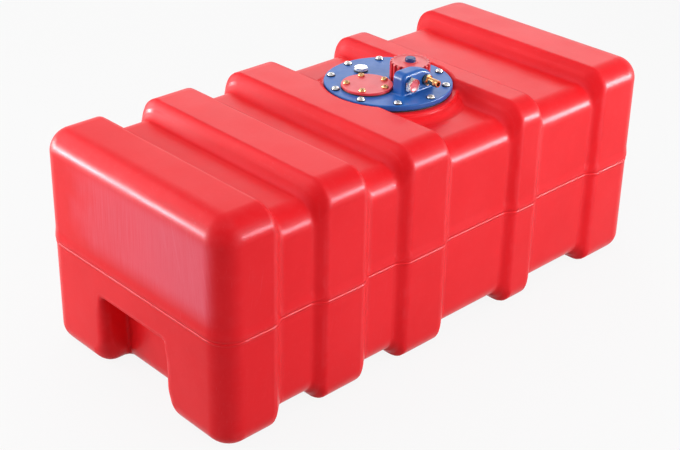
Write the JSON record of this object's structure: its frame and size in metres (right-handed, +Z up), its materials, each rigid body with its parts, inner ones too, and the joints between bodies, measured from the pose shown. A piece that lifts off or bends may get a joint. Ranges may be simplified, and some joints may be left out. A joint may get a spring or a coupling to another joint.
{
  "type": "inboard fuel tank",
  "caption": "Ribbed moulded fuel tank for a boat, with hand holds and strap grooves, and a round service plate carrying a screw-on filler cap, sender cover, vent fitting and hose tail.",
  "frame": {"origin": "under the middle of the tank, on the surface that it stands on", "axes": "+X along the tank, towards its long end band on the filler's side; -Y is the side that the vent fitting and hose tail face; +Z up"},
  "size_m": [0.766, 0.359, 0.331],
  "materials": {
    "tank_red": "satin rotational-moulded polyethylene with fine upright scuffs",
    "plate_blue": "satin moulded nylon",
    "cover_red": "smooth moulded plastic",
    "cap_red": "moulded plastic with grip ribs",
    "insert_red": "small moulded insert",
    "button_blue": "smooth pressed-in button",
    "black_rubber": "matt sealing rubber",
    "brass": "turned brass",
    "zinc_steel": "bright zinc-plated steel",
    "nickel": "nickel-plated brass",
    "tube_aluminium": "drawn aluminium tube",
    "strainer_white": "natural moulded nylon"
  },
  "bodies": {
    "tank": {"tank_shell": "tank_red", "threaded_inserts": "brass", "plate_gasket": "black_rubber", "top_plate": "plate_blue", "plate_washers": "black_rubber", "plate_screws": "zinc_steel", "sender_gasket": "black_rubber", "sender_inserts": "brass", "sender_cover": "cover_red", "sender_screws": "brass", "return_plug_seal": "black_rubber", "return_plug": "zinc_steel", "vent_seal": "black_rubber", "vent_fitting": "nickel", "vent_insert": "insert_red", "hose_tail_seal": "black_rubber", "hose_tail": "brass", "pickup_nut": "brass", "pickup_olive": "brass", "pickup_tube": "tube_aluminium", "pickup_strainer": "strainer_white"},
    "cap_seal": {"cap_gasket": "black_rubber"},
    "cap": {"filler_cap": "cap_red", "cap_button": "button_blue"}
  },
  "joints": [
    {"name": "cap_lift", "type": "slide", "parent": "tank", "child": "cap_seal", "axis": [0, 0, 1], "range_m": [0, 0.0101]},
    {"name": "cap_turn", "type": "hinge", "parent": "cap_seal", "child": "cap", "pos_m": [0.073, -0.0155, 0.31], "axis": [0, 0, 1], "range_deg": [0, 720]}
  ],
  "couplings": [
    {"joint": "cap_lift", "follows": "cap_turn", "m_per_rad": 0.00079577}
  ]
}
